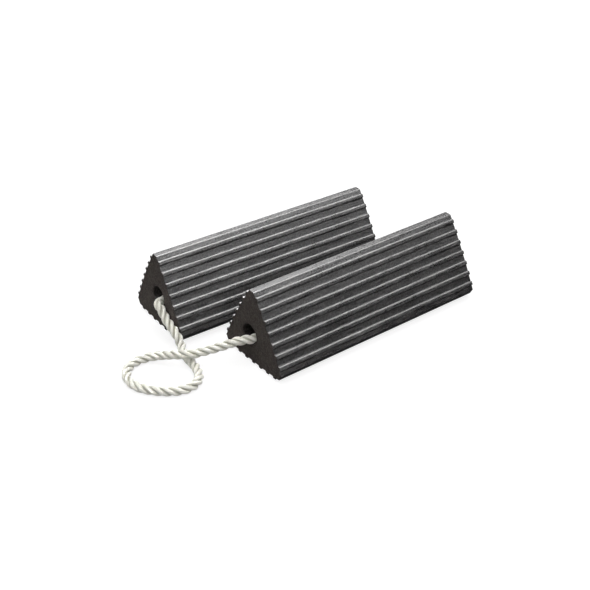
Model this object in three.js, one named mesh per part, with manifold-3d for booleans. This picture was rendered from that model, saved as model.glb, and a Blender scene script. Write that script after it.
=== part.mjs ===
// A pair of ribbed rubber wheel chocks joined by one length of laid rope.
// Units are millimetres and +Z is up. The origin is on the floor, under the middle of the back chock.
// +X runs along the back chock, away from the end where the rope comes out. The front chock lies on
// the -Y side. Each chock is built with x = 0 at its rope end and y = 0 on its base's centreline.
import * as THREE from "three";
import { mergeVertices } from "three/addons/utils/BufferGeometryUtils.js";
import Module from "manifold-3d";

// ---- driving dimensions ----------------------------------------------------------------
const LENGTH = 355.6; // one chock, end to end (14 in)
const FACE = 117; // width of one face, between its two corner flats
const CORNER_FLAT = 10; // width of the flat that takes off each corner
const CROWN = 2; // how far the middle of a face stands out from the line between its corners
const CROWN_FLAT = 18.5; // half-width of the face's flat middle
const CROWN_POWER = 1.15; // how the crown falls away beyond it; 1 would be straight
const RIB_PITCH = 16;
const RIBS = 7; // on each face
const RIB_HEIGHT = 2.8;
const BORE_R = 15; // rope bore
const BORE_LEAD = 1.2; // eased edge at the mouth of the bore
const BORE_LEAD_MIDDLE = 0.7; // that edge's middle point, both in from the mouth and out from the bore
const BORE_OFF = 6.3; // from the section's centre to the bore's axis
// Which way the bore is off, in degrees from +Y towards +Z: the front chock lies on another face.
const BORE_ANGLE = { back: 115, front: -5 };
const RECESS_R = 22; // counterbore that hides the knot
const RECESS_DEPTH = 55;
const RECESS_LEAD = 1; // chamfer at the mouth of the recess
const CUT_OVERSHOOT = 1; // how far the cutting body runs past each end of the chock
const WASHER_OD = 38.1; // 1/2 in fender washer
const WASHER_ID = 15.1;
const WASHER_T = 2;
const WASHER_CHAMFER = 0.3;
const GAP = 0.3; // running gap between neighbouring pieces
const ROPE_R = 6.6; // 1/2 in three-strand rope, softly laid, 13.2 mm across
const KNOT_R = 16.5;
const KNOT_LENGTH = 27;
const KNOT_SLACK = 12; // how far each knot stands off its washer at rest
const ROPE_END_LENGTH = 7; // rope end past the knot
const FLEX_GAP = 2.2; // gap between two lengths of rope, which lets them turn
const ROPE_SEGMENTS = 10; // lengths between the two bores

// Places along a chock, from its rope end.
const RECESS_X = LENGTH - RECESS_DEPTH;
const WASHER_X = RECESS_X + GAP;
const KNOT_X = WASHER_X + WASHER_T + KNOT_SLACK;
const ROPE_END_X = KNOT_X + KNOT_LENGTH + GAP;

// The front chock stands beside the back one, a little askew.
const BACK_X = -LENGTH / 2; // the back chock's rope end
const FRONT_OFFSET_X = 57.3; // from the back chock's rope end to the front chock's
const FRONT_Y = -154.8; // the front chock's base centreline, at its rope end
const FRONT_YAW = THREE.MathUtils.degToRad(2.16);

// Mesh fineness
const ROUND_SIDES = 48; // bores and washers
const ROPE_SIDES = 14;
const KNOT_SIDES = 20;
const KNOT_STEPS = 16;
const TAIL_STEPS = 30;
const SEGMENT_STEPS = 12;
const FREE_CURVE_DIVISIONS = 2000; // for measuring along the free rope

// ---- materials -------------------------------------------------------------------------
const rubber = new THREE.MeshStandardMaterial({ color: 0x2b2a2a, roughness: 0.62, metalness: 0 });
const rope = new THREE.MeshStandardMaterial({ color: 0xe6e3d8, roughness: 0.8, metalness: 0 });
const zinc = new THREE.MeshStandardMaterial({ color: 0xb4b7b8, roughness: 0.35, metalness: 1 });

// ---- solids ----------------------------------------------------------------------------
const wasm = await Module();
wasm.setup();

// Makes a solid of a closed geometry, whichever way its triangles are wound.
function solid(geometry) {
  geometry.deleteAttribute("normal");
  geometry.deleteAttribute("uv");
  const merged = mergeVertices(geometry, 1e-4);
  const corners = merged.index.array;
  const outward = [];
  const inward = [];
  for (let i = 0; i < corners.length; i += 3) {
    const [a, b, c] = corners.slice(i, i + 3);
    // Triangles that close up on a lathe's axis have no area and are dropped.
    if (a === b || b === c || a === c) continue;
    outward.push(a, b, c);
    inward.push(a, c, b);
  }
  const build = (triangles) =>
    new wasm.Manifold(
      new wasm.Mesh({
        numProp: 3,
        vertProperties: new Float32Array(merged.attributes.position.array),
        triVerts: new Uint32Array(triangles),
      }),
    );
  const body = build(outward);
  return body.volume() > 0 ? body : build(inward);
}

function geometryOf(manifold) {
  const mesh = manifold.getMesh();
  const positions = new Float32Array(mesh.vertProperties);
  const geometry = new THREE.BufferGeometry();
  geometry.setAttribute("position", new THREE.BufferAttribute(positions, 3));
  geometry.setIndex(new THREE.BufferAttribute(new Uint32Array(mesh.triVerts), 1));
  geometry.computeVertexNormals();
  return geometry;
}

// ---- the chock's section ---------------------------------------------------------------
// An equilateral triangle standing on one side, with all three corners taken off flat. Each face is
// slightly crowned and ribbed, so that the chock works the same on any side. Points are (y, z) with
// z = 0 at the tops of the base's three middle ribs.
const SIDE = FACE + 2 * CORNER_FLAT; // the untruncated triangle
const INRADIUS = SIDE / (2 * Math.sqrt(3)); // from the centre to the line between two corners
const AXIS_Z = INRADIUS + CROWN + RIB_HEIGHT; // height of the section's centre

// Half of a rib's section, square with an eased top and a small fillet at the foot:
// distance from the rib's middle, height as a share of RIB_HEIGHT.
const RIB_HALF = [
  [4.0, 0],
  [3.35, 0.055],
  [3.05, 0.23],
  [2.85, 0.62],
  [2.6, 0.84],
  [2.15, 0.96],
  [1.6, 1],
];
const RIB_SECTION = [
  ...RIB_HALF.map(([distance, share]) => [-distance, share]),
  ...[...RIB_HALF].reverse(),
];

// Height of the bare face at a distance u from its middle.
function crownAt(u) {
  const fall = Math.max(0, (Math.abs(u) - CROWN_FLAT) / (FACE / 2 - CROWN_FLAT));
  return CROWN * (1 - Math.pow(fall, CROWN_POWER));
}

// One face as (u, v): u along the face, 0 at its middle; v outward, 0 at the corners.
function facePoints() {
  const points = [[-FACE / 2, 0]];
  for (let i = 0; i < RIBS; i++) {
    const centre = (i - (RIBS - 1) / 2) * RIB_PITCH;
    for (const [offset, share] of RIB_SECTION) {
      const u = centre + offset;
      // The feet lie on the crown; the rest of the rib is level about its middle.
      points.push([u, share === 0 ? crownAt(u) : crownAt(centre) + RIB_HEIGHT * share]);
    }
    const between = centre + RIB_PITCH / 2;
    if (i < RIBS - 1) points.push([between, crownAt(between)]);
  }
  points.push([FACE / 2, 0]);
  return points;
}

// The base runs from -Y to +Y; the other faces are the same, turned by 120 and 240 degrees.
function sectionShape() {
  const outline = [];
  for (let i = 0; i < 3; i++) {
    const turn = (i * 2 * Math.PI) / 3;
    const cos = Math.cos(turn);
    const sin = Math.sin(turn);
    for (const [u, v] of facePoints()) {
      const z = -INRADIUS - v;
      outline.push(new THREE.Vector2(u * cos - z * sin, AXIS_Z + u * sin + z * cos));
    }
  }
  return new THREE.Shape(outline);
}

// ---- pieces of one chock ---------------------------------------------------------------
// A point in the chock's frame, from (x, y, z) with y and z measured from the bore's axis.
function fromBore(side, [x, y, z]) {
  const angle = THREE.MathUtils.degToRad(BORE_ANGLE[side]);
  return new THREE.Vector3(
    x,
    BORE_OFF * Math.cos(angle) + y,
    AXIS_Z + BORE_OFF * Math.sin(angle) + z,
  );
}

// Revolves (x, radius) points about a chock's bore axis.
function aboutBore(side, profile, sides) {
  const points = profile.map(([x, radius]) => new THREE.Vector2(radius, x));
  const geometry = new THREE.LatheGeometry(points, sides);
  // The lathe's axis, Y, becomes X.
  const place = new THREE.Matrix4().set(0, 1, 0, 0, 0, 0, 1, 0, 1, 0, 0, 0, 0, 0, 0, 1);
  place.setPosition(fromBore(side, [0, 0, 0]));
  return solid(geometry.applyMatrix4(place));
}

function chockGeometry(side) {
  const block = new THREE.ExtrudeGeometry(sectionShape(), {
    depth: LENGTH,
    bevelEnabled: false,
    steps: 1,
  });
  // The shape's (x, y) becomes (y, z), and the extrusion runs along +X.
  block.applyMatrix4(new THREE.Matrix4().set(0, 0, 1, 0, 1, 0, 0, 0, 0, 1, 0, 0, 0, 0, 0, 1));
  const bore = [
    [-CUT_OVERSHOOT, 0],
    [-CUT_OVERSHOOT, BORE_R + BORE_LEAD + CUT_OVERSHOOT],
    [0, BORE_R + BORE_LEAD],
    [BORE_LEAD_MIDDLE, BORE_R + BORE_LEAD_MIDDLE],
    [BORE_LEAD, BORE_R],
    [RECESS_X, BORE_R],
    [RECESS_X, RECESS_R],
    [LENGTH - RECESS_LEAD, RECESS_R],
    [LENGTH + CUT_OVERSHOOT, RECESS_R + RECESS_LEAD + CUT_OVERSHOOT],
    [LENGTH + CUT_OVERSHOOT, 0],
  ];
  return geometryOf(solid(block).subtract(aboutBore(side, bore, ROUND_SIDES)));
}

function washerGeometry(side) {
  const end = WASHER_X + WASHER_T;
  const outer = WASHER_OD / 2;
  const inner = WASHER_ID / 2;
  const profile = [
    [WASHER_X, inner],
    [WASHER_X, outer - WASHER_CHAMFER],
    [WASHER_X + WASHER_CHAMFER, outer],
    [end - WASHER_CHAMFER, outer],
    [end, outer - WASHER_CHAMFER],
    [end, inner],
    [WASHER_X, inner],
  ];
  return geometryOf(aboutBore(side, profile, ROUND_SIDES));
}

// A stopper knot as a plain body: two fat turns with a waist between them.
const KNOT_SHAPE = {
  trim: 0.06, // share of the half sine wave left off at each end
  power: 0.45, // below 1 makes the wave fuller
  waistDepth: 0.07, // as a share of the radius
  waistWidth: 0.12, // as a share of the length
  overRope: 0.8, // least amount by which the knot's radius exceeds the rope's
};

function knotGeometry(side) {
  const { trim, power, waistDepth, waistWidth, overRope } = KNOT_SHAPE;
  const profile = [[KNOT_X, 0]];
  for (let i = 0; i <= KNOT_STEPS; i++) {
    const t = i / KNOT_STEPS;
    const round = Math.pow(Math.sin(Math.PI * (trim + (1 - 2 * trim) * t)), power);
    const waist = 1 - waistDepth * Math.exp(-Math.pow((t - 0.5) / waistWidth, 2));
    profile.push([KNOT_X + KNOT_LENGTH * t, Math.max(ROPE_R + overRope, KNOT_R * round * waist)]);
  }
  profile.push([KNOT_X + KNOT_LENGTH, 0]);
  return geometryOf(aboutBore(side, profile, KNOT_SIDES));
}

// The eased tip of the rope: distance back from the tip, distance in from the rope's surface.
const ROPE_TIP = [
  [2, 0],
  [0.6, 0.7],
  [0, 2.2],
];

function ropeEndGeometry(side) {
  const tip = ROPE_END_X + ROPE_END_LENGTH;
  const profile = [
    [ROPE_END_X, 0],
    [ROPE_END_X, ROPE_R],
    ...ROPE_TIP.map(([back, inset]) => [tip - back, ROPE_R - inset]),
    [tip, 0],
  ];
  return geometryOf(aboutBore(side, profile, ROPE_SIDES));
}

// ---- the rope --------------------------------------------------------------------------
function ropeGeometry(curve, steps) {
  const ring = [];
  for (let i = 0; i < ROPE_SIDES; i++) {
    const angle = (2 * Math.PI * i) / ROPE_SIDES;
    ring.push(new THREE.Vector2(ROPE_R * Math.cos(angle), ROPE_R * Math.sin(angle)));
  }
  const options = { steps, extrudePath: curve, bevelEnabled: false };
  return geometryOf(solid(new THREE.ExtrudeGeometry(new THREE.Shape(ring), options)));
}

const smoothCurve = (points) => new THREE.CatmullRomCurve3(points, false, "centripetal");

// Inside its bore the rope lies low at the mouth, on the side it comes from, and rises to the axis
// by the washer. Points are (x, y, z) with y and z from the bore's axis.
const MOUTH = { back: [0.2, -4.6, -6.4], front: [0.2, -3, -6.6] }; // ends of the free rope
const TAIL_START = {
  back: [[3.4, -4.1, -6.7], [8, -3.5, -7.1], [16, -2.6, -7.4], [34, -1, -7.9]],
  front: [[3.4, -4.1, -6.5], [8, -4.9, -6.2], [16, -4.8, -6.3], [34, -2.8, -7.4]],
};
const TAIL_RISE = [
  [80, 0, -7.6], [140, 0, -6.2], [200, 0, -3.2], [250, 0, -0.8],
  [282, 0, 0], [300, 0, 0], [KNOT_X - GAP, 0, 0],
];

function tailGeometry(side) {
  const points = [...TAIL_START[side], ...TAIL_RISE].map((point) => fromBore(side, point));
  return ropeGeometry(smoothCurve(points), TAIL_STEPS);
}

// The free rope, from the back bore's mouth, down over its lip, round one loop on the floor, over
// itself and up into the front bore. Points are (x, y, z), with x from the back chock's rope end.
const FREE = [
  [-4, -10.2, 43.6], [-6.7, -14.4, 43.8], [-7.7, -19.6, 42.4], [-7.4, -25.3, 38.2],
  [-7.4, -30.4, 33.8], [-7.4, -36.4, 30.1], [-7.4, -43.4, 27.2], [-7.4, -51.2, 24.8],
  [-7.3, -58, 21.8], [-7.1, -64.2, 17.8], [-6.6, -69, 12.4], [-7.4, -74.4, 8.2],
  [-10, -82.6, 6.8], [-13.2, -94, 6.8], [-14.4, -106, 6.8], [-14.9, -118, 6.8],
  [-17, -132, 6.8], [-23.6, -148.3, 6.8], [-36.6, -158.8, 6.8], [-51.6, -160.3, 6.8],
  [-67.6, -154.3, 6.8], [-85.6, -139.8, 6.8], [-99.6, -119.8, 6.8], [-102.1, -96.8, 6.8],
  [-91.6, -77.3, 6.8], [-72.6, -68.8, 6.8], [-55.6, -71.3, 7.8], [-42.2, -82.9, 11.9],
  [-32.6, -97.7, 17.6], [-23.9, -109.1, 20.7], [-15.1, -115.6, 21.5], [-5.7, -119.2, 22.2],
  [3.6, -123, 23.9], [13.2, -127.8, 26.4], [22.6, -133.4, 29.7], [32, -138.8, 33],
  [41, -143.6, 35.9], [49.5, -148, 37.1],
];

function freeRopeCurve() {
  const frontPlace = new THREE.Matrix4()
    .makeRotationZ(FRONT_YAW)
    .setPosition(FRONT_OFFSET_X, FRONT_Y, 0);
  const curve = smoothCurve([
    fromBore("back", MOUTH.back),
    ...FREE.map((point) => new THREE.Vector3(...point)),
    fromBore("front", MOUTH.front).applyMatrix4(frontPlace),
  ]);
  curve.arcLengthDivisions = FREE_CURVE_DIVISIONS;
  return curve;
}

// Part of a curve, between two shares of its length.
class Run extends THREE.Curve {
  constructor(curve, from, to) {
    super();
    this.curve = curve;
    this.from = from;
    this.to = to;
  }
  getPoint(t, target = new THREE.Vector3()) {
    const share = this.from + (this.to - this.from) * t;
    return this.curve.getPointAt(THREE.MathUtils.clamp(share, 0, 1), target);
  }
}

// ---- assembly --------------------------------------------------------------------------
function addPart(parent, name, geometry, material) {
  const mesh = new THREE.Mesh(geometry, material);
  mesh.name = name;
  parent.add(mesh);
}

function chockGroup(side) {
  const group = new THREE.Group();
  addPart(group, `${side}_chock`, chockGeometry(side), rubber);
  addPart(group, `${side}_washer`, washerGeometry(side), zinc);
  addPart(group, `rope_${side}_tail`, tailGeometry(side), rope);
  addPart(group, `rope_${side}_knot`, knotGeometry(side), rope);
  addPart(group, `rope_${side}_end`, ropeEndGeometry(side), rope);
  return group;
}

// Equal lengths of the free rope, with half a flex gap taken off wherever two of them meet.
function freeRopeGroup() {
  const group = new THREE.Group();
  const curve = freeRopeCurve();
  const halfGap = FLEX_GAP / 2 / curve.getLength();
  for (let i = 0; i < ROPE_SEGMENTS; i++) {
    const from = i / ROPE_SEGMENTS + (i === 0 ? 0 : halfGap);
    const to = (i + 1) / ROPE_SEGMENTS - (i === ROPE_SEGMENTS - 1 ? 0 : halfGap);
    const geometry = ropeGeometry(new Run(curve, from, to), SEGMENT_STEPS);
    addPart(group, `rope_segment_${i + 1}`, geometry, rope);
  }
  return group;
}

const back = chockGroup("back");
back.position.set(BACK_X, 0, 0);

const front = chockGroup("front");
front.position.set(BACK_X + FRONT_OFFSET_X, FRONT_Y, 0);
front.rotation.z = FRONT_YAW;

const freeRope = freeRopeGroup();
freeRope.position.set(BACK_X, 0, 0);

const chocks = new THREE.Group();
chocks.add(back, front, freeRope);

export default chocks;
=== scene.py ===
"""A pair of ribbed rubber wheel chocks joined by one three-strand rope.

Both blocks lie with their length along X, flat on z = 0. The back block is centred on x = 0
and the front block lies beside it at lower y, turned a little about Z. The rope enters each
bore at the block's low-x end and is knotted in a recess at its high-x end. Blender works in
metres; the sizes and helper maths here are in mm.
"""
import math

import bmesh
import bpy
import numpy as np
from mathutils import Matrix, Vector
from mathutils.geometry import delaunay_2d_cdt


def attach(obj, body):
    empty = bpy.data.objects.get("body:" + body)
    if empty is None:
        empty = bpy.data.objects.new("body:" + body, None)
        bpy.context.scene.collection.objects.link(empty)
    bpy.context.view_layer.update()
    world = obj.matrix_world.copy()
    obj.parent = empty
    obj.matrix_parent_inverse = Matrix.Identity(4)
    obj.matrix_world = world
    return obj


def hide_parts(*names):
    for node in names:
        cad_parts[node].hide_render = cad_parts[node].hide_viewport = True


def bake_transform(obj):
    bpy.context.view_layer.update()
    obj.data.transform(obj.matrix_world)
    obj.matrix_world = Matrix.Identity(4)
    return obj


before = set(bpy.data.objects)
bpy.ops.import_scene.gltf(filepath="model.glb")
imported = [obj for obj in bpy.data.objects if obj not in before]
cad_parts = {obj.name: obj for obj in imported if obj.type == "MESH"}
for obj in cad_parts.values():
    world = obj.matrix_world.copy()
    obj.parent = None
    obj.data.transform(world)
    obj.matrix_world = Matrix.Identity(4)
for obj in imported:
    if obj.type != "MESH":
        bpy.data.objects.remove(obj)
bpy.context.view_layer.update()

# ---- block, mm ----------------------------------------------------------------------------
LENGTH = 355.6
FACE = 117.0
CORNER_FLAT = 10.0  # cut off each end of a side of the sharp triangle
SIDE = FACE + 2 * CORNER_FLAT
INRADIUS = SIDE / (2 * math.sqrt(3))
CROWN = 2.0  # how far a face bulges
CROWN_FLAT = 18.5  # half width of the level part of the bulge
RIBS = 7  # on each face
RIB_PITCH = 16.0
RIB_HEIGHT = 2.8
RIB_FOOT = 3.2  # half widths
RIB_TOP = 2.74
CORNER_ROUND = 1.0
FOOT_ROUND = 0.7
LIP_ROUND = 1.05
END_ROUND = 0.7
AXIS_Z = INRADIUS + CROWN + RIB_HEIGHT

# ---- bore and its parts, mm ---------------------------------------------------------------
BORE_R = 15.0
BORE_OFF = 6.3
RECESS_R = 22.0
RECESS_DEPTH = 55.0
RECESS_X = LENGTH - RECESS_DEPTH
BORE_LIP = 1.2  # how much wider the bore is where it meets an end face
BORE = {  # (y, z) of the bore's axis, off the section's centre by a distance at an angle
    side: (
        BORE_OFF * math.cos(math.radians(angle)),
        AXIS_Z + BORE_OFF * math.sin(math.radians(angle)),
    )
    for side, angle in (("back", 115), ("front", -5))
}
FRONT_X = 57.3 - LENGTH / 2
FRONT_Y = -154.8
FRONT_YAW = math.radians(2.16)

# ---- rope, mm -----------------------------------------------------------------------------
ROPE_R = 6.6
LAY = 38.0  # one turn of a strand
YARNS = 8  # in a strand
SEGMENTS = 10  # rigid pieces of the free rope
WASHER_T = 2.0
GAP = 0.3
KNOT_SLACK = 12.0
KNOT_X = RECESS_X + GAP + WASHER_T + KNOT_SLACK
KNOT_R = 16.5
KNOT_LENGTH = 27.0
KNOT_ROPE_R = 5.35
END_LENGTH = 7.0
SHOWN = bpy.context.scene.collection


# ---- small helpers ------------------------------------------------------------------------
def smoothstep(x, low, high):
    t = np.clip((x - low) / (high - low), 0, 1)
    return t * t * (3 - 2 * t)


def ripple(seed, x, longest=160, shortest=14, count=9):
    """A random sum of sines along x, about 1 high, with wavelengths between two limits."""
    random = np.random.default_rng(seed)
    low, high = 2 * np.pi / longest, 2 * np.pi / shortest
    numbers = np.exp(random.uniform(np.log(low), np.log(high), count))
    phases = random.uniform(0, 2 * np.pi, count)
    weights = (low / numbers) ** 0.5
    weights = weights / np.sqrt((weights**2).sum() / 2)
    return (np.sin(np.multiply.outer(x, numbers) + phases) * weights).sum(-1)


def tube_faces(first, rings, count):
    """Quads joining successive closed rings of count vertices, numbered from first."""
    i = np.arange(count)
    following = (i + 1) % count
    faces = []
    for ring in range(rings - 1):
        a = first + ring * count
        b = a + count
        faces.append(np.stack([a + i, a + following, b + following, b + i], 1))
    return np.concatenate(faces)


def closed_mesh(name, verts_mm, faces, flat=0):
    """A closed mesh facing outward, smooth but for the last few faces (flat of them)."""
    mesh = bpy.data.meshes.new(name)
    verts = np.asarray(verts_mm, np.float64) / 1000.0
    mesh.vertices.add(len(verts))
    mesh.vertices.foreach_set("co", verts.astype(np.float32).ravel())
    sizes = np.array([len(face) for face in faces], np.int32)
    loops = np.concatenate([np.asarray(face, np.int32) for face in faces])
    mesh.loops.add(len(loops))
    mesh.loops.foreach_set("vertex_index", loops)
    mesh.polygons.add(len(faces))
    starts = np.concatenate([[0], np.cumsum(sizes)[:-1]]).astype(np.int32)
    mesh.polygons.foreach_set("loop_start", starts)
    mesh.update(calc_edges=True)
    mesh.validate()
    mesh.polygons.foreach_set("use_smooth", np.arange(len(faces)) < len(faces) - flat)
    mesh.update()
    bm = bmesh.new()
    bm.from_mesh(mesh)
    bmesh.ops.recalc_face_normals(bm, faces=bm.faces)
    bm.to_mesh(mesh)
    bm.free()
    return mesh


def put(name, data):
    ob = bpy.data.objects.new(name, data)
    SHOWN.objects.link(ob)
    return ob


def float_attribute(mesh, name, values):
    attribute = mesh.attributes.new(name, "FLOAT", "POINT")
    attribute.data.foreach_set("value", np.asarray(values, np.float32))


def vector_attribute(mesh, name, values):
    attribute = mesh.attributes.new(name, "FLOAT_VECTOR", "POINT")
    attribute.data.foreach_set("vector", np.asarray(values, np.float32).ravel())


# ---- nodes --------------------------------------------------------------------------------
class Nodes:
    """Shorthand for building the node tree of a material or world."""

    def __init__(self, owner, output):
        owner.use_nodes = True
        self.tree = owner.node_tree
        self.tree.nodes.clear()
        self.out = self.node(output)

    def node(self, kind, **settings):
        node = self.tree.nodes.new(kind)
        for key, value in settings.items():
            setattr(node, key, value)
        return node

    def feed(self, socket, value):
        """Links a socket to the input, or sets the input to a constant."""
        if isinstance(value, bpy.types.NodeSocket):
            self.tree.links.new(value, socket)
        else:
            socket.default_value = value

    def span(self, value, low, high, to_low=0.0, to_high=1.0, smooth=True):
        kind = "SMOOTHSTEP" if smooth else "LINEAR"
        node = self.node("ShaderNodeMapRange", interpolation_type=kind)
        self.feed(node.inputs["Value"], value)
        for key, limit in zip(
            ("From Min", "From Max", "To Min", "To Max"), (low, high, to_low, to_high)
        ):
            node.inputs[key].default_value = limit
        return node.outputs["Result"]

    def math(self, operation, a, b):
        node = self.node("ShaderNodeMath", operation=operation)
        self.feed(node.inputs[0], a)
        self.feed(node.inputs[1], b)
        return node.outputs[0]

    def add(self, a, b):
        return self.math("ADD", a, b)

    def times(self, a, b):
        return self.math("MULTIPLY", a, b)


class Material(Nodes):
    """A material with one Principled shader."""

    def __init__(self, name):
        self.material = bpy.data.materials.new(name)
        super().__init__(self.material, "ShaderNodeOutputMaterial")
        self.bsdf = self.node("ShaderNodeBsdfPrincipled")
        self.feed(self.out.inputs[0], self.bsdf.outputs[0])

    def shade(self, values):
        for name, value in values.items():
            self.feed(self.bsdf.inputs[name], value)

    def coords(self, scale, attribute=None):
        """Scaled object coordinates, in metres, or a scaled vector attribute."""
        if attribute is None:
            vector = self.node("ShaderNodeTexCoord").outputs["Object"]
        else:
            node = self.node("ShaderNodeAttribute", attribute_name=attribute)
            vector = node.outputs["Vector"]
        mapping = self.node("ShaderNodeMapping")
        mapping.inputs["Scale"].default_value = scale
        self.feed(mapping.inputs["Vector"], vector)
        return mapping.outputs[0]

    def noise(self, vector, scale=1.0, detail=3.0, rough=0.55, distortion=0.0):
        node = self.node("ShaderNodeTexNoise")
        self.feed(node.inputs["Vector"], vector)
        self.feed(node.inputs["Scale"], scale)
        self.feed(node.inputs["Detail"], detail)
        self.feed(node.inputs["Roughness"], rough)
        self.feed(node.inputs["Distortion"], distortion)
        return node.outputs[0]

    def voronoi(self, vector, scale):
        node = self.node("ShaderNodeTexVoronoi")
        self.feed(node.inputs["Vector"], vector)
        self.feed(node.inputs["Scale"], scale)
        return node.outputs["Distance"]

    def attr(self, name):
        return self.node("ShaderNodeAttribute", attribute_name=name).outputs["Fac"]

    def mix(self, fac, a, b):
        node = self.node("ShaderNodeMix", data_type="RGBA")
        self.feed(node.inputs[0], fac)
        for index, colour in ((6, a), (7, b)):  # the colour sockets
            value = (*colour, 1) if isinstance(colour, tuple) else colour
            self.feed(node.inputs[index], value)
        return node.outputs[2]

    def tinted(self, base, mask, amount, colour):
        return self.mix(self.times(mask, amount), base, colour)

    def patched(self, base, *patches):
        """Lays colours over a base. A patch is (texture, fades in from, full at, amount, colour)."""
        for texture, low, high, amount, colour in patches:
            base = self.tinted(base, self.span(texture, low, high), amount, colour)
        return base

    def relief(self, *layers):
        """Stacks bumps on the shader. A layer is (height, distance in metres, strength)."""
        normal = None
        for height, distance, strength in layers:
            node = self.node("ShaderNodeBump")
            self.feed(node.inputs["Strength"], strength)
            self.feed(node.inputs["Distance"], distance)
            self.feed(node.inputs["Height"], height)
            if normal is not None:
                self.feed(node.inputs["Normal"], normal)
            normal = node.outputs["Normal"]
        self.shade({"Normal": normal})


PER_MM = (1000, 1000, 1000)  # texture units of 1 mm


def rubber_material():
    """Black rubber with marks drawn along X and browner, duller ends."""
    t = Material("moulded_rubber")
    fine = t.coords((22, 1300, 1300))
    marks = t.coords((30, 520, 520))
    broad = t.coords((6, 200, 200))
    cube = t.coords(PER_MM)
    streak = t.noise(fine, detail=4.0, rough=0.6)
    drag = t.noise(marks, rough=0.6)
    band = t.noise(broad)
    grain = t.noise(cube, scale=1.3, rough=0.65)
    skin = t.noise(cube, scale=0.42, rough=0.6)
    mottle = t.noise(cube, scale=0.16, detail=4.0, rough=0.6, distortion=0.4)
    cloud = t.noise(cube, scale=0.022, distortion=0.6)
    cut = t.attr("cut")  # 1 on the flat ends
    edge = t.attr("edge")  # 1 on outside edges
    floor = t.attr("groove")  # 1 on the groove floors

    base = t.mix(
        t.span(band, low=0.3, high=0.72), (0.0048, 0.0046, 0.005), (0.0098, 0.0092, 0.0094)
    )
    base = t.patched(
        base,
        (drag, 0.5, 0.75, 0.6, (0.03, 0.0285, 0.028)),
        (streak, 0.52, 0.8, 0.5, (0.04, 0.039, 0.039)),
        (skin, 0.5, 0.75, 0.4, (0.034, 0.032, 0.031)),
        (cloud, 0.45, 0.75, 0.4, (0.024, 0.0225, 0.022)),
    )
    # painted shade: the groove floors are darkened as if shaded by the ribs beside them
    base = t.tinted(base, floor, amount=0.55, colour=(0.0045, 0.0043, 0.0043))
    ends = t.mix(
        t.span(mottle, low=0.35, high=0.7), (0.0235, 0.0198, 0.018), (0.043, 0.0365, 0.033)
    )
    ends = t.patched(ends, (skin, 0.52, 0.75, 0.45, (0.062, 0.054, 0.049)))
    base = t.mix(cut, base, ends)
    scuff = t.noise(t.coords((60, 700, 700)), detail=4.0, rough=0.6)
    worn = t.times(edge, t.span(scuff, low=0.42, high=0.68))
    base = t.tinted(base, worn, amount=0.5, colour=(0.085, 0.083, 0.08))
    speck_size = 0.05
    speck = t.math("LESS_THAN", t.voronoi(cube, scale=0.22), speck_size)
    base = t.tinted(base, speck, amount=0.35, colour=(0.13, 0.12, 0.105))

    rough = t.span(drag, low=0.25, high=0.75, to_low=0.19, to_high=0.36, smooth=False)
    for texture, low, high, least, most in (
        (skin, 0.3, 0.75, -0.03, 0.09),
        (cloud, 0.3, 0.7, -0.04, 0.06),
    ):
        rough = t.add(rough, t.span(texture, low, high, least, most, smooth=False))
    for mask, rougher in ((cut, 0.25), (worn, 0.06), (floor, 0.08)):
        rough = t.add(rough, t.times(mask, rougher))

    even_shine, least_shine = 0.44, 0.05
    varied = t.span(skin, low=0.35, high=0.7, to_low=-0.12, to_high=0.16, smooth=False)
    shine = t.add(even_shine, varied)
    for mask, duller in ((cut, 0.32), (floor, 0.2)):
        shine = t.math("SUBTRACT", shine, t.times(mask, duller))
    shine = t.math("MAXIMUM", shine, least_shine)
    t.shade({"Base Color": base, "Roughness": rough, "Specular IOR Level": shine, "IOR": 1.5})

    # the marks along X stay off the cut ends
    along_only = t.math("SUBTRACT", 1.0, cut)
    t.relief(
        (t.times(along_only, streak), 0.00008, 0.8),
        (t.times(along_only, drag), 0.00022, 0.7),
        (band, 0.0002, 0.4),
        (grain, 0.00006, 0.75),
        (skin, 0.00016, 0.7),
        (mottle, 0.0003, 0.45),
        (t.span(t.voronoi(cube, scale=0.5), low=0.0, high=0.28), 0.00008, 0.5),  # fine pits
    )
    return t.material


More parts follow.
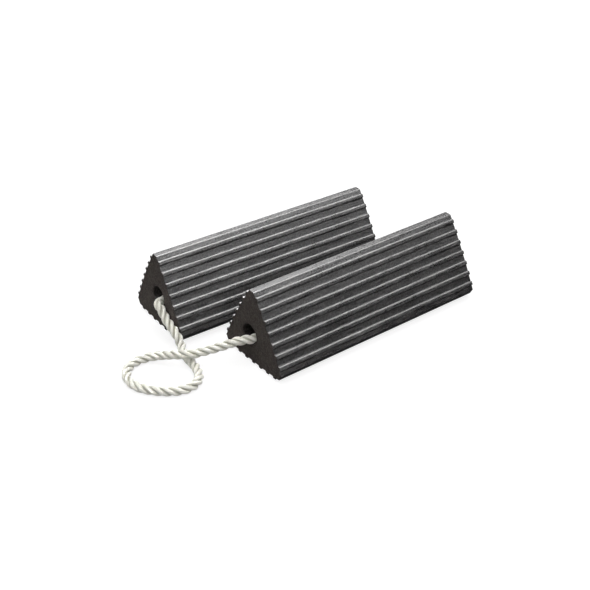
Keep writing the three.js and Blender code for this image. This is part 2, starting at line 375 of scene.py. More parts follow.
def rope_material():
    """Off-white fibre, with grit dirt and painted shade between the strands and yarns, brown where its
    end is melted.
    """
    t = Material("laid_rope")
    fibre = t.coords((0.09, 4.2, 1), "lay")
    yarn = t.coords((0.07, 1.1, 1), "lay")
    cube = t.coords(PER_MM)
    hair = t.noise(fibre, rough=0.6)
    bundle = t.noise(yarn, detail=2.0, rough=0.5)
    grit = t.noise(cube, scale=0.42, rough=0.6)
    cloud = t.noise(cube, scale=0.045)
    deep = t.attr("deep")  # 1 down between the strands and yarns
    base = t.mix(t.span(hair, low=0.3, high=0.72), (0.75, 0.742, 0.665), (0.94, 0.936, 0.89))
    base = t.patched(
        base,
        (bundle, 0.5, 0.75, 0.3, (0.93, 0.925, 0.89)),
        (cloud, 0.46, 0.7, 0.3, (0.68, 0.665, 0.56)),
    )
    dirt_everywhere, dirt_deep = 0.25, 0.6
    dirt = t.times(
        t.span(grit, low=0.5, high=0.74), t.add(dirt_everywhere, t.times(deep, dirt_deep))
    )
    base = t.mix(dirt, base, (0.3, 0.285, 0.2))
    # painted shade: the crevices between strands and yarns are darkened evenly, on top of the grit
    # dirt
    base = t.tinted(base, deep, amount=0.72, colour=(0.26, 0.25, 0.185))
    melt = t.attr("melt")
    base = t.mix(melt, base, (0.42, 0.35, 0.22))
    rough = t.span(hair, low=0.3, high=0.7, to_low=0.45, to_high=0.7, smooth=False)
    melt_gloss = 0.15
    rough = t.math("SUBTRACT", rough, t.times(melt, melt_gloss))
    t.shade({
        "Base Color": base,
        "Roughness": rough,
        "Specular IOR Level": 0.25,
        "Subsurface Weight": 0.12,
        "Subsurface Radius": (0.8, 0.7, 0.55),
        "Subsurface Scale": 0.001,
        "Sheen Weight": 0.1,
    })
    t.relief((hair, 0.0003, 0.9), (bundle, 0.0004, 0.6), (grit, 0.0002, 0.5))
    return t.material


def zinc_material():
    """Zinc plate with faint cells and dull brownish patches."""
    t = Material("zinc_plate")
    cube = t.coords(PER_MM)
    spangle = t.voronoi(cube, scale=0.35)
    dull = t.noise(cube, scale=0.12, detail=4.0, rough=0.6)
    fine = t.noise(cube, scale=2.4, rough=0.6)
    base = t.mix(t.span(dull, low=0.35, high=0.7), (0.42, 0.43, 0.44), (0.66, 0.67, 0.68))
    base = t.patched(base, (dull, 0.62, 0.8, 0.6, (0.38, 0.33, 0.26)))
    rough = t.add(
        t.span(spangle, low=0, high=1, to_low=0.24, to_high=0.4, smooth=False),
        t.span(dull, low=0.3, high=0.8, to_low=0.0, to_high=0.2),
    )
    t.shade({"Base Color": base, "Metallic": 1.0, "Roughness": rough})
    t.relief((fine, 0.00004, 0.6), (spangle, 0.00006, 0.3))
    return t.material


RUBBER, ROPE, ZINC = rubber_material(), rope_material(), zinc_material()


# ---- the block's section ------------------------------------------------------------------
def crown(across):
    """Height of the bulge at a distance from the middle of a face."""
    slope = max(0.0, (abs(across) - CROWN_FLAT) / (FACE / 2 - CROWN_FLAT))
    return CROWN * (1 - np.power(slope, 1.15))


def section():
    """The section's sharp corners, face after face: (y, z, rounding, edge, groove, rib).

    Edge and groove are 1 on outside edges and groove floors; rib is -1 off the ribs.
    Face 0 is the bottom, and they run anticlockwise with y right and z up.
    """
    corners = []
    for side in range(3):
        face = [(-FACE / 2, 0.0, CORNER_ROUND, 1, 0, -1)]
        for k in range(RIBS):
            middle = (k - (RIBS - 1) / 2) * RIB_PITCH
            rib = side * RIBS + k
            top = crown(middle) + RIB_HEIGHT
            for sign in (-1, 1):
                across = middle + sign * RIB_FOOT
                foot = (across, crown(across), FOOT_ROUND, 0, 1, rib)
                lip = (middle + sign * RIB_TOP, top, LIP_ROUND, 1, 0, rib)
                face += [foot, lip] if sign < 0 else [lip, foot]
            if k < RIBS - 1:
                across = middle + RIB_PITCH / 2
                face.append((across, crown(across), 0, 0, 1, -1))
        face.append((FACE / 2, 0.0, CORNER_ROUND, 1, 0, -1))
        turn = side * 2 * math.pi / 3
        cos, sin = math.cos(turn), math.sin(turn)
        for y, height, *rest in face:
            z = -INRADIUS - height
            corners.append((y * cos - z * sin, AXIS_Z + y * sin + z * cos, *rest))
    return corners


def rounded_corner(before, corner, after, radius, arc):
    """Points on the arc that rounds a corner, kept within its two sides."""
    to_before, to_after = before - corner, after - corner
    size_before, size_after = np.linalg.norm(to_before), np.linalg.norm(to_after)
    to_before, to_after = to_before / size_before, to_after / size_after
    half = math.acos(np.clip(to_before @ to_after, -1, 1)) / 2
    trim = min(radius / math.tan(half), 0.46 * size_before, 0.46 * size_after)
    radius = trim * math.tan(half)
    bisector = to_before + to_after
    centre = corner + bisector / np.linalg.norm(bisector) * (radius / math.sin(half))
    start = corner + to_before * trim - centre
    end = corner + to_after * trim - centre
    total = math.acos(np.clip(start @ end / (radius * radius), -1, 1))
    points = []
    for j in range(arc + 1):
        s = j / arc
        spoke = math.sin((1 - s) * total) * start + math.sin(s * total) * end
        points.append(centre + spoke / math.sin(total))
    return points


def rounded(corners, arc=5, step=1.5):
    """Rounds the corners and cuts up long straights.

    Returns arrays of points, edge, groove, rib number and outward normals.
    """
    sharp = np.array([corner[:2] for corner in corners])
    bends = []  # (point, edge, groove, rib)
    for i, (_, _, radius, edge, groove, rib) in enumerate(corners):
        if radius <= 0:
            points = [sharp[i]]
        else:
            after = sharp[(i + 1) % len(sharp)]
            points = rounded_corner(sharp[i - 1], sharp[i], after, radius, arc)
        bends += [(point, edge, groove, rib) for point in points]
    outline = []
    for i, bend in enumerate(bends):
        following = bends[(i + 1) % len(bends)]
        outline.append(bend)
        cuts = int(np.linalg.norm(following[0] - bend[0]) / step)
        groove = 1.0 if bend[2] and following[2] else 0.0
        rib = bend[3] if bend[3] == following[3] else -1
        for j in range(1, cuts + 1):
            s = j / (cuts + 1)
            outline.append((bend[0] * (1 - s) + following[0] * s, 0.0, groove, rib))
    points, edge, groove, rib = (np.array(column) for column in zip(*outline))
    chord = np.roll(points, -1, 0) - np.roll(points, 1, 0)
    normals = np.stack([chord[:, 1], -chord[:, 0]], 1)
    normals /= np.linalg.norm(normals, axis=1)[:, None]
    return points, edge.astype(float), groove.astype(float), rib, normals


def inside(polygon, points):
    """Which points lie inside a closed outline."""
    x, y = points[:, 0], points[:, 1]
    hit = np.zeros(len(points), bool)
    for (x1, y1), (x2, y2) in zip(polygon, np.roll(polygon, -1, 0)):
        if y1 == y2:
            continue
        crosses = (y1 > y) != (y2 > y)
        hit ^= crosses & (x < (x2 - x1) * (y - y1) / (y2 - y1) + x1)
    return hit


# ---- the chock ----------------------------------------------------------------------------
def stations():
    """Places along the block, about 3 mm apart, and how far the outline is drawn in at each."""
    angles = np.linspace(0, math.pi / 2, 5)
    ends = [(END_ROUND * (1 - math.cos(a)), END_ROUND * (1 - math.sin(a))) for a in angles]
    middle = list(np.linspace(END_ROUND, LENGTH - END_ROUND, 121)[1:-1])
    xs = [x for x, _ in ends] + middle + [LENGTH - x for x, _ in ends[::-1]]
    insets = [inset for _, inset in ends]
    return np.array(xs), np.array(insets + [0.0] * len(middle) + insets[::-1])


def wander(outline, xs, seed, random, crease):
    """Outward and sideways shifts of the outline's points at each station."""
    points, edge, groove, rib, _ = outline
    count = len(points)
    out = np.zeros((len(xs), count))
    sideways = np.zeros((len(xs), count))
    for k in range(3 * RIBS):
        on = rib == k
        out[:, on & (groove == 0)] += 0.05 * ripple(seed * 100 + k, xs)[:, None]
        sway = ripple(seed * 100 + k + 50, xs, longest=300, shortest=40, count=5)
        sideways[:, on] += 0.09 * sway[:, None]
    for j in np.flatnonzero(groove):
        height = 0.05 * math.sin(j * 1.7 + seed)
        out[:, j] += height * ripple(seed + 7, xs + 31.0 * (j // 12))

    # nicks in the edges, except near the floor
    nicks, nick_reach, lowest_nick = 34, 3.2, 6
    edge_points = np.where(edge > 0)[0]
    for _ in range(nicks):
        j = int(random.choice(edge_points))
        if points[j, 1] < lowest_nick:
            continue
        x = random.uniform(8, LENGTH - 8)
        width = random.uniform(1.2, 5.5)
        depth = random.uniform(0.15, 0.6)
        near = np.abs(((np.arange(count) - j + count // 2) % count) - count // 2)
        lengthwise = depth * np.exp(-((xs - x) / width) ** 2)[:, None]
        out -= lengthwise * np.exp(-((near / nick_reach) ** 2))[None, :]

    # a long fold pressed into the top of one rib, fading out towards the ends
    if crease is not None:
        crease_rib, depth = crease
        top = np.where((rib == crease_rib) & (groove == 0) & (edge == 0))[0]
        near = np.abs(np.arange(count) - top[len(top) // 2])
        depths = (
            depth
            * (0.65 + 0.35 * ripple(seed + 99, xs))
            * smoothstep(xs, 20, 70)
            * (1 - smoothstep(xs, LENGTH - 60, LENGTH - 15))
        )
        out -= depths[:, None] * np.exp(-((near / 0.9) ** 2))[None, :]
    return out, sideways


def bore_rings(side, count):
    """Rings of vertices down the bore and recess, from x = 0."""
    profile = [  # (x, radius)
        (0.0, BORE_R + BORE_LIP), (0.12, BORE_R + 0.72), (0.42, BORE_R + 0.34),
        (0.85, BORE_R + 0.1), (1.5, BORE_R),
    ]
    profile += [(x, BORE_R) for x in np.linspace(6, RECESS_X - 3, 40)]
    profile += [
        (RECESS_X - 0.6, BORE_R), (RECESS_X - 0.15, BORE_R + 0.2), (RECESS_X, BORE_R + 0.7),
        (RECESS_X, 18.0), (RECESS_X, RECESS_R - 0.8), (RECESS_X + 0.25, RECESS_R - 0.25),
        (RECESS_X + 0.8, RECESS_R),
    ]
    profile += [(x, RECESS_R) for x in np.linspace(RECESS_X + 4, LENGTH - 3, 12)]
    profile += [
        (LENGTH - 1.0, RECESS_R + 0.06), (LENGTH - 0.5, RECESS_R + 0.4),
        (LENGTH - 0.2, RECESS_R + 0.75), (LENGTH, RECESS_R + BORE_LIP),
    ]
    axis_y, axis_z = BORE[side]
    angles = np.arange(count) * 2 * np.pi / count
    rings = []
    for x, radius in profile:
        if 3 < x < LENGTH - 3:  # a little out of round
            radius = radius + (
                0.05 * np.sin(3 * angles + x * 0.03) + 0.04 * np.sin(7 * angles + x * 0.11)
            )
        y = axis_y + radius * np.cos(angles)
        z = axis_z + radius * np.sin(angles)
        rings.append(np.stack([np.full(count, x), y, z], 1))
    return rings


def end_face(outer, hole, side, hole_radius, x_end, starts, seed, random):
    """Triangles between an end's outline and its hole, with uneven points between.

    Starts are the mesh's vertex numbers for the outline, the hole and the new points.
    Returns the triangles and the new points.
    """
    spacing, jitter, margin = 3.2, 0.5, 1.2
    axis_y, axis_z = BORE[side]
    grid_y, grid_z = np.meshgrid(np.arange(-66, 66, spacing), np.arange(0, 120, spacing))
    grid = np.stack([grid_y.ravel(), grid_z.ravel()], 1)
    grid = grid + random.uniform(-jitter, jitter, (grid_y.size, 2))
    from_axis = np.hypot(grid[:, 0] - axis_y, grid[:, 1] - axis_z)
    keep = inside(outer, grid) & (from_axis > hole_radius + margin)
    to_outline = np.min(np.linalg.norm(grid[:, None] - outer[None, ::2], axis=2), axis=1)
    grid = grid[keep & (to_outline > margin)]

    outer_count, hole_count = len(outer), len(hole)
    rims = outer_count + hole_count
    edges = [(i, (i + 1) % outer_count) for i in range(outer_count)]
    edges += [(outer_count + i, outer_count + (i + 1) % hole_count) for i in range(hole_count)]
    points = [Vector(point) for point in np.concatenate([outer, hole, grid])]
    result = delaunay_2d_cdt(points, edges, [], 0, 1e-6)
    places = np.array([tuple(point) for point in result[0]])
    triangles = np.array(result[2])
    outer_start, hole_start, new_start = starts
    numbers, new = [], []
    for place, sources in zip(places, result[3]):
        source = min(sources, default=rims)
        if source < outer_count:
            numbers.append(outer_start + source)
        elif source < rims:
            numbers.append(hole_start + source - outer_count)
        else:
            numbers.append(new_start + len(new))
            new.append(place)
    centres = places[triangles].mean(1)
    solid = inside(outer, centres) & ~inside(hole, centres)
    triangles = [tuple(numbers[i] for i in triangle) for triangle in triangles[solid]]

    new = np.array(new)
    dome = 0.12 * np.sin(new[:, 0] * 0.11 + seed) * np.sin(new[:, 1] * 0.13) - 0.1
    x = np.clip(x_end + (-dome if x_end == 0 else dome), 0.0, LENGTH)
    return triangles, np.stack([x, new[:, 0], new[:, 1]], 1)


def chock(name, side, body, seed, matrix, crease=None):
    """A ribbed block with its bore. A crease is (rib number, depth)."""
    random = np.random.default_rng(seed)
    outline = rounded(section())
    points, edge, groove, _, normals = outline
    count = len(points)
    xs, insets = stations()
    out, sideways = wander(outline, xs, seed, random, crease)
    most_out = 0.12
    lift = np.minimum(out, most_out) - insets[:, None]
    tangents = np.stack([-normals[:, 1], normals[:, 0]], 1)
    rings = points[None] + normals[None] * lift[..., None] + tangents[None] * sideways[..., None]
    rings[..., 1] = np.maximum(rings[..., 1], 0.0)  # nothing goes below the floor
    shape = (len(xs), count)
    skin = np.concatenate([np.broadcast_to(xs[:, None, None], (*shape, 1)), rings], -1)
    wear = np.maximum(edge[None], np.clip(insets / END_ROUND * 2.5, 0, 1)[:, None])
    grooves = np.broadcast_to(groove, shape)

    bore_count = 96
    bore = bore_rings(side, bore_count)
    bore_start = len(xs) * count
    # each part: vertices, then their edge, groove and cut values
    parts = [
        (skin.reshape(-1, 3), wear.ravel(), grooves.ravel(), 0.0),
        # the bore's groove value of 0.5 darkens its inside with the groove tint: painted shade
        (np.concatenate(bore), 0.0, 0.5, 0.4),
    ]
    bore_faces = tube_faces(bore_start, len(bore), bore_count)[:, [0, 3, 2, 1]]
    faces = [*tube_faces(0, len(xs), count), *bore_faces]

    total = bore_start + bore_count * len(bore)
    last_ring = bore_start - count
    for ring, outer_start, hole_start, hole_radius, x_end in (
        (0, 0, bore_start, BORE_R + BORE_LIP, 0.0),
        (-1, last_ring, total - bore_count, RECESS_R + BORE_LIP, LENGTH),
    ):
        starts = (outer_start, hole_start, total)
        triangles, new = end_face(
            rings[ring], bore[ring][:, 1:], side, hole_radius, x_end, starts, seed, random
        )
        faces += triangles
        parts.append((new, 0.0, 0.0, 1.0))
        total += len(new)

    mesh = closed_mesh(name, np.concatenate([part[0] for part in parts]), faces)
    edge_values, groove_values, cut_values = (
        np.concatenate([np.broadcast_to(part[column], len(part[0])) for part in parts])
        for column in (1, 2, 3)
    )
    for start, size in ((0, count), (last_ring, count), (bore_start, bore_count)):
        cut_values[start : start + size] = 1
    float_attribute(mesh, "edge", edge_values)
    float_attribute(mesh, "groove", groove_values)
    float_attribute(mesh, "cut", cut_values)
    ob = put(name, mesh)
    ob.matrix_world = matrix
    mesh.materials.append(RUBBER)
    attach(ob, body)
    return ob


back_matrix = Matrix.Translation((-LENGTH / 2000, 0, 0))
front_matrix = Matrix.Translation((FRONT_X / 1000, FRONT_Y / 1000, 0))
front_matrix = front_matrix @ Matrix.Rotation(FRONT_YAW, 4, "Z")
FRONT_CREASE = (RIBS + 4, 0.55)  # a rib of face 1, which looks up and to +y
back = chock("back_block", "back", "back_chock", seed=3, matrix=back_matrix)
front = chock(
    "front_block", "front", "front_chock", seed=8, matrix=front_matrix, crease=FRONT_CREASE
)
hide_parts("back_chock")
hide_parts("front_chock")

# ---- washers keep their CAD shape ---------------------------------------------------------
for side in ("back", "front"):
    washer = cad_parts[side + "_washer"]
    washer.data.materials.clear()
    washer.data.materials.append(ZINC)
    bevel = washer.modifiers.new("edges", "BEVEL")
    bevel.width = 0.00018
    bevel.segments = 2
    bevel.limit_method = "ANGLE"

# ---- the rope's line ----------------------------------------------------------------------
# (x, y, z) between the two mouths: x from the back block's low-x end, y and z as in the frame
FREE = [
    (-4, -10.2, 43.6), (-6.7, -14.4, 43.8), (-7.7, -19.6, 42.4), (-7.4, -25.3, 38.2),
    (-7.4, -30.4, 33.8), (-7.4, -36.4, 30.1), (-7.4, -43.4, 27.2), (-7.4, -51.2, 24.8),
    (-7.3, -58, 21.8), (-7.1, -64.2, 17.8), (-6.6, -69, 12.4), (-7.4, -74.4, 8.2),
    (-10, -82.6, 6.8), (-13.2, -94, 6.8), (-14.4, -106, 6.8), (-14.9, -118, 6.8),
    (-17, -132, 6.8), (-23.6, -148.3, 6.8), (-36.6, -158.8, 6.8), (-51.6, -160.3, 6.8),
    (-67.6, -154.3, 6.8), (-85.6, -139.8, 6.8), (-99.6, -119.8, 6.8), (-102.1, -96.8, 6.8),
    (-91.6, -77.3, 6.8), (-72.6, -68.8, 6.8), (-55.6, -71.3, 7.8), (-42.2, -82.9, 11.9),
    (-32.6, -97.7, 17.6), (-23.9, -109.1, 20.7), (-15.1, -115.6, 21.5), (-5.7, -119.2, 22.2),
    (3.6, -123, 23.9), (13.2, -127.8, 26.4), (22.6, -133.4, 29.7), (32, -138.8, 33),
    (41, -143.6, 35.9), (49.5, -148, 37.1),
]
# in a block: x from its low-x end, y and z from the bore's axis
MOUTH_X = 0.2
MOUTH = {"back": (-4.6, -6.4), "front": (-3, -6.6)}  # (y, z)
INSIDE = {  # (x, y, z)
    "back": [(3.4, -4.1, -6.7), (8, -3.5, -7.1), (16, -2.6, -7.4), (34, -1, -7.9)],
    "front": [(3.4, -4.1, -6.5), (8, -4.9, -6.2), (16, -4.8, -6.3), (34, -2.8, -7.4)],
}
RISE = [  # (x, y, z), on from INSIDE and up to the axis
    (80, 0, -7.6), (140, 0, -6.2), (200, 0, -3.2), (250, 0, -0.8), (282, 0, 0), (300, 0, 0),
    (KNOT_X - GAP, 0, 0),
]


def to_back(point):
    return np.array([point[0] - LENGTH / 2, point[1], point[2]])


def to_front(point):
    x, y, z = point
    cos, sin = math.cos(FRONT_YAW), math.sin(FRONT_YAW)
    return np.array([FRONT_X + x * cos - y * sin, FRONT_Y + x * sin + y * cos, z])


PLACE = {"back": to_back, "front": to_front}  # from a block's frame to the row's


def catmull(points, per=60):
    """Centripetal Catmull-Rom curve through the points."""
    points = np.array(points, float)
    padded = [2 * points[0] - points[1], *points, 2 * points[-1] - points[-2]]
    t = np.linspace(0, 1, per, endpoint=False)[:, None]
    out = []
    for before, start, end, after in zip(padded, padded[1:], padded[2:], padded[3:]):
        gap_before = max(((before - start) ** 2).sum() ** 0.25, 1e-4)
        gap = max(((start - end) ** 2).sum() ** 0.25, 1e-4)
        gap_after = max(((end - after) ** 2).sum() ** 0.25, 1e-4)
        slope_start = gap * (
            (start - before) / gap_before
            - (end - before) / (gap_before + gap)
            + (end - start) / gap
        )
        slope_end = gap * (
            (end - start) / gap
            - (after - start) / (gap + gap_after)
            + (after - end) / gap_after
        )
        square = -3 * start + 3 * end - 2 * slope_start - slope_end
        cube = 2 * start - 2 * end + slope_start + slope_end
        out.append(start + slope_start * t + square * t**2 + cube * t**3)
    out.append(points[-1:])
    return np.concatenate(out)


def along(line):
    """Arc length at each point of a line."""
    return np.concatenate([[0], np.cumsum(np.linalg.norm(np.diff(line, axis=0), axis=1))])


def resample(line, arcs):
    own = along(line)
    return np.stack([np.interp(arcs, own, line[:, k]) for k in range(3)], 1)


def smooth_path(line, passes):
    for _ in range(passes):
        line[1:-1] = 0.25 * line[:-2] + 0.5 * line[1:-1] + 0.25 * line[2:]
    return line


def tail(side):
    """The rope's line from just inside the bore's mouth to its knot."""
    axis_y, axis_z = BORE[side]
    points = [(x, axis_y + y, axis_z + z) for x, y, z in INSIDE[side] + RISE]
    return np.array([PLACE[side](point) for point in catmull(points)])


def mouth(side):
    (axis_y, axis_z), (y, z) = BORE[side], MOUTH[side]
    return PLACE[side]((MOUTH_X, axis_y + y, axis_z + z))


back_tail = tail("back")[::-1]
free = catmull([mouth("back"), *(to_back(point) for point in FREE), mouth("front")])
whole = np.concatenate([back_tail, free, tail("front")])
whole_arcs = along(whole)
mouth_arc = whole_arcs[len(back_tail)]
FREE_LENGTH = whole_arcs[len(back_tail) + len(free) - 1] - mouth_arc
STEP = FREE_LENGTH / round(FREE_LENGTH / 0.75)
steps_before = math.floor(mouth_arc / STEP)
steps_free = round(FREE_LENGTH / STEP)
steps_after = math.floor((whole_arcs[-1] - mouth_arc - FREE_LENGTH) / STEP)
ARCS = np.arange(-steps_before, steps_free + steps_after + 1) * STEP  # from the back mouth
CENTRES = smooth_path(resample(whole, ARCS + mouth_arc), passes=3)


def frames(line):
    """Two directions across a line at each point, carried along without twist."""
    tangents = np.gradient(line, axis=0)
    tangents /= np.linalg.norm(tangents, axis=1)[:, None]
    normal = np.array([0, 0, 1.0])
    normals = []
    for tangent in tangents:
        normal = normal - tangent * (normal @ tangent)
        normal = normal / np.linalg.norm(normal)
        normals.append(normal)
    normals = np.array(normals)
    return normals, np.cross(tangents, normals)


NORMALS, BINORMALS = frames(CENTRES)


# ---- the rope's strands -------------------------------------------------------------------
def strands(name, line, normals, binormals, arc, radius=ROPE_R, points=54, melt=0.0, shrink=1.0):
    """Three right-hand laid strands round a line, each of yarns twisted the other way.

    Melt and shrink are single values or one for each point of the line.
    """
    count = len(line)
    melt = np.broadcast_to(melt, count)
    shrink = np.broadcast_to(shrink, count)
    strand_radius, lay_radius = radius * 0.474, radius * 0.526
    limit = (radius * shrink)[:, None]
    turn = 2 * np.pi * arc / LAY
    around = np.arange(points) * 2 * np.pi / points  # from the strand's outward direction
    verts, deep, lay, faces, caps = [], [], [], [], []
    for strand in range(3):
        angle = turn + strand * 2 * np.pi / 3
        cos, sin = np.cos(angle)[:, None], np.sin(angle)[:, None]
        loose = (
            1 + 0.012 * np.sin(arc * 0.061 + strand * 2.1) + 0.008 * np.sin(arc * 0.17 + strand)
        )
        outward = normals * cos + binormals * sin
        across = -normals * sin + binormals * cos
        centre = line + outward * (lay_radius * shrink * loose)[:, None]
        # the yarns turn back against the lay
        spin = -1.15 * turn + strand * 0.7
        yarn = around[None, :] + angle[:, None] - spin[:, None]
        lobes = np.abs(np.cos(YARNS * yarn / 2)) ** 0.7
        fluting = 0.5 + 0.5 * np.cos((YARNS * 3 + 1) * yarn + 1.3 * strand)
        size = strand_radius * shrink[:, None] * (0.9 + 0.1 * lobes + 0.012 * fluting)
        # flattened towards the other strands, and kept inside the rope's round outline
        x = size * np.cos(around)[None]
        y = size * np.sin(around)[None] * (1.07 - 0.02 * np.cos(around)[None])
        x = np.where(x < 0, x * 0.92, x)
        surface = centre[:, None] + outward[:, None] * x[..., None] + across[:, None] * y[..., None]
        from_line = surface - line[:, None]
        reach = np.linalg.norm(from_line, axis=2)
        surface = line[:, None] + from_line * np.minimum(1, limit / np.maximum(reach, 1e-6))[..., None]
        verts.append(surface.reshape(-1, 3))
        # deep marks the crevices, where the rope material paints shade and heavier grit dirt
        reach = np.linalg.norm(surface - line[:, None], axis=2)
        depth = np.clip(1 - (reach / limit - 0.62) / 0.3, 0, 1)
        deep.append((0.85 * depth + 0.5 * (1 - lobes) ** 2).clip(0, 1).ravel())
        lengthwise = np.broadcast_to(arc[:, None], yarn.shape)
        apart = np.full(yarn.shape, strand * 13.0)  # gives each strand its own texture
        lay.append(np.stack([lengthwise, yarn * strand_radius, apart], -1).reshape(-1, 3))
        first = strand * count * points
        faces += [*tube_faces(first, count, points)]
        caps.append(first + np.arange(points)[::-1])
        caps.append(first + (count - 1) * points + np.arange(points))
    mesh = closed_mesh(name, np.concatenate(verts), faces + caps, flat=len(caps))
    float_attribute(mesh, "deep", np.concatenate(deep))
    float_attribute(mesh, "melt", np.tile(np.repeat(melt, points), 3))
    vector_attribute(mesh, "lay", np.concatenate(lay))
    mesh.materials.append(ROPE)
    ob = put(name, mesh)
    return ob


def rope_part(name, pick, **options):
    """Strands along the picked points of the rope's line."""
    return strands(name, CENTRES[pick], NORMALS[pick], BINORMALS[pick], ARCS[pick], **options)


def index_of(arc):
    return int(round((arc - ARCS[0]) / STEP))


# Pieces over the bends run from mid-segment to mid-segment, the outer two on into the bores.
SEGMENT = FREE_LENGTH / SEGMENTS
REACH_IN = SEGMENT / 2
CUTS = [-REACH_IN] + [(k + 0.5) * SEGMENT for k in range(SEGMENTS)] + [FREE_LENGTH + REACH_IN]
for k in range(SEGMENTS + 1):
    ob = rope_part(f"rope_bend_{k}", slice(index_of(CUTS[k]), index_of(CUTS[k + 1]) + 1))
    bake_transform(ob)
    if k < SEGMENTS:
        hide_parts(f"rope_segment_{k + 1}")


# ---- the rope's fixed ends ----------------------------------------------------------------
def knot_path():
    """A stopper knot along +X from 0: out from the axis, round it, and back to it."""
    turns, start_angle = 1.9, 0.6
    t = np.linspace(0, 1, 400)
    widest = KNOT_R - KNOT_ROPE_R - 0.1
    radius = widest * smoothstep(t, 0.0, 0.17) * (1 - smoothstep(t, 0.86, 1.0))
    start = KNOT_ROPE_R * 0.55
    travel = KNOT_LENGTH - 2 * start
    x = start + travel * smoothstep(t, 0.02, 0.98) * 0.35 + travel * t * 0.65
    angle = 2 * np.pi * turns * t + start_angle
    return np.stack([x, radius * np.cos(angle), radius * np.sin(angle)], 1)


def on_axis(side, xs):
    return np.array([(x, *BORE[side]) for x in xs])


def block_strands(name, side, line, arc_start=0, **options):
    """Strands along a line in a block's frame, riding with that end of the rope."""
    line = np.array([PLACE[side](point) for point in line])
    ob = strands(name, line, *frames(line), along(line) + arc_start, **options)
    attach(ob, f"rope_{side}")
    return ob


def fixed_rope(side):
    """The rope deep in the bore, its knot and its sealed end."""
    body = f"rope_{side}"
    if side == "back":
        indices = np.arange(0, index_of(CUTS[0]) + 1)
    else:
        indices = np.arange(index_of(CUTS[-1]), len(CENTRES))
    picked = indices[::3]
    if picked[-1] != indices[-1]:
        picked = np.append(picked, indices[-1])
    inner = rope_part(f"{body}_inner", picked, points=36)
    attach(inner, body)
    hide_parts(f"{body}_tail")

    path = knot_path() + [KNOT_X, *BORE[side]]
    lead = on_axis(side, np.linspace(KNOT_X - GAP, path[0, 0], 6)[:-1])
    path = np.concatenate([lead, path])
    path = smooth_path(resample(path, np.arange(0, along(path)[-1], 0.9)), passes=30)
    wraps = block_strands(f"{body}_wraps", side, path, radius=KNOT_ROPE_R, points=40)
    core = on_axis(side, np.arange(KNOT_X + 1, KNOT_X + KNOT_LENGTH - 1, 0.9))
    block_strands(f"{body}_core", side, core, radius=5.2, points=30)
    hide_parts(f"{body}_knot")

    taper = 3  # length of the rounded tip
    start = KNOT_X + KNOT_LENGTH - 3
    tip = KNOT_X + KNOT_LENGTH + GAP + END_LENGTH
    xs = np.concatenate([np.arange(start, tip - taper, 0.8), np.linspace(tip - taper, tip, 14)])
    into_tip = np.clip((xs - (tip - taper)) / taper, 0, 1)
    end = block_strands(
        f"{body}_sealed_end",
        side,
        on_axis(side, xs),
        arc_start=9,
        radius=5.7,
        points=36,
        melt=smoothstep(xs, tip - 5.5, tip - 2.5),
        shrink=np.sqrt(np.clip(1 - (into_tip * 0.93) ** 2.2, 0.02, 1)),
    )
    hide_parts(f"{body}_end")


fixed_rope("back")
fixed_rope("front")


# ---- stage --------------------------------------------------------------------------------
# The floor and the surroundings look white to the camera. Dark shiny rubber mirrors something
# else: a studio that is black low down and bright overhead.
def floor_material():
    t = Material("studio_floor")
    pale = t.noise(t.coords((1, 1, 1)), scale=3.0, rough=0.5)
    ray = t.node("ShaderNodeLightPath")
    colour = t.mix(pale, (0.3, 0.3, 0.3), (0.33, 0.33, 0.33))
    colour = t.mix(ray.outputs["Is Glossy Ray"], colour, (0.03, 0.03, 0.03))
    glow = t.mix(pale, (0.985, 0.985, 0.985), (1.0, 1.0, 1.0))
    # glow for every ray, more for the camera, and the share taken away from reflections
    always, for_camera, unmirrored = 0.16, 0.62, 0.9
    level = t.add(always, t.times(ray.outputs["Is Camera Ray"], for_camera))
    hidden = t.times(ray.outputs["Is Glossy Ray"], unmirrored)
    level = t.times(level, t.math("SUBTRACT", 1.0, hidden))
    t.shade({
        "Base Color": colour,
        "Roughness": 0.9,
        "Specular IOR Level": 0.0,
        "Emission Color": glow,
        "Emission Strength": level,
    })
    t.material.cycles.emission_sampling = "NONE"
    return t.material


def build_floor():
    bm = bmesh.new()
    bmesh.ops.create_grid(bm, x_segments=8, y_segments=8, size=6)
    mesh = bpy.data.meshes.new("floor")
    bm.to_mesh(mesh)
    bm.free()
    mesh.materials.append(floor_material())
    put("floor", mesh)


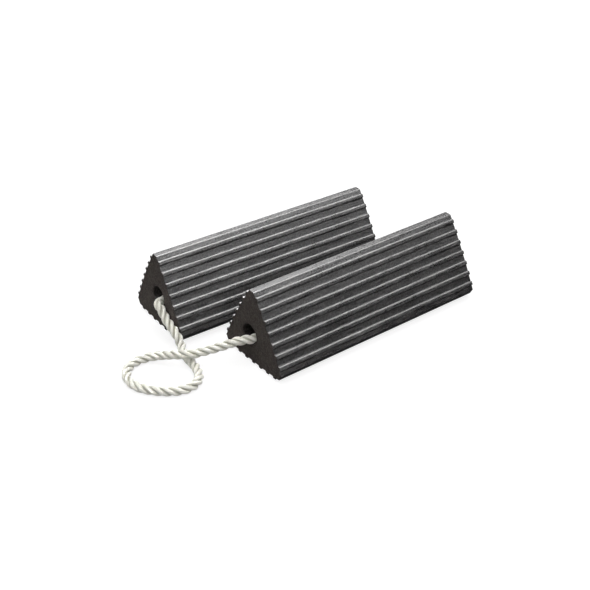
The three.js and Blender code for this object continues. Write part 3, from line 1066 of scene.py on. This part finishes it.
def build_world():
    world = bpy.data.worlds.new("studio")
    bpy.context.scene.world = world
    t = Nodes(world, "ShaderNodeOutputWorld")
    world.cycles.sampling_method = "NONE"
    ray = t.node("ShaderNodeLightPath")
    direction = t.node("ShaderNodeSeparateXYZ")
    t.feed(direction.inputs[0], t.node("ShaderNodeTexCoord").outputs["Generated"])
    x, y, z = direction.outputs

    def sky(strength):
        node = t.node("ShaderNodeBackground")
        node.inputs["Color"].default_value = (1, 1, 1, 1)
        t.feed(node.inputs["Strength"], strength)
        return node.outputs[0]

    def choose(fac, a, b):
        node = t.node("ShaderNodeMixShader")
        for socket, value in zip(node.inputs, (fac, a, b)):
            t.feed(socket, value)
        return node.outputs[0]

    # a glow that grows with height and is weaker towards +y
    glow = t.times(
        t.span(z, low=0.23, high=0.56, to_low=0.08, to_high=4.2),
        t.span(y, low=0.0, high=0.6, to_low=1.0, to_high=0.36),
    )
    # the bright lines on the upper edges of the ribs, weaker towards +x
    overhead = t.span(z, low=0.7, high=0.86, to_low=0.0, to_high=28.0)
    fade = t.span(x, low=0.34, high=0.66, to_low=1.3, to_high=0.45)
    mirrored = sky(t.add(glow, t.times(overhead, fade)))
    soft = sky(t.span(z, low=-0.1, high=0.9, to_low=0.35, to_high=1.0))
    lit = choose(ray.outputs["Is Glossy Ray"], soft, mirrored)
    t.feed(t.out.inputs[0], choose(ray.outputs["Is Camera Ray"], lit, sky(1.0)))


def softbox(name, at, target, size, watts):
    """A square area light aimed at a target."""
    light = bpy.data.lights.new(name, "AREA")
    light.shape = "RECTANGLE"
    light.size = size
    light.size_y = size
    light.energy = watts
    ob = put(name, light)
    ob.location = at
    ob.rotation_mode = "QUATERNION"
    ob.rotation_quaternion = (Vector(target) - Vector(at)).to_track_quat("-Z", "Y")


def build_camera():
    camera = bpy.data.cameras.new("camera")
    camera.lens = 64.83
    camera.sensor_width = 36
    camera.shift_x = 0.0003
    camera.shift_y = 0.0014
    camera.clip_start = 0.05
    camera.clip_end = 40
    ob = put("camera", camera)
    place = Vector((-0.7506, -1.1406, 0.8433 + (CROWN + RIB_HEIGHT) / 1000))
    right = Vector((0.81551, -0.57874, 0.0)).normalized()
    look = Vector((0.48888, 0.68889, -0.53519)).normalized()
    up = right.cross(look).normalized()
    rows = [(right[k], up[k], -look[k], place[k]) for k in range(3)]
    ob.matrix_world = Matrix((*rows, (0, 0, 0, 1)))
    bpy.context.scene.camera = ob


build_floor()
build_world()
softbox("top_back", at=(0.45, 1.0, 1.15), target=(0, -0.05, 0.05), size=0.9, watts=7)
softbox("front_right", at=(0.95, -1.35, 1.25), target=(0.05, -0.1, 0.08), size=0.8, watts=4)
softbox("top", at=(-0.1, -0.1, 1.7), target=(0, -0.1, 0), size=1.2, watts=5)
build_camera()
bpy.context.scene.view_settings.view_transform = "Standard"
bpy.context.scene.view_settings.look = "None"
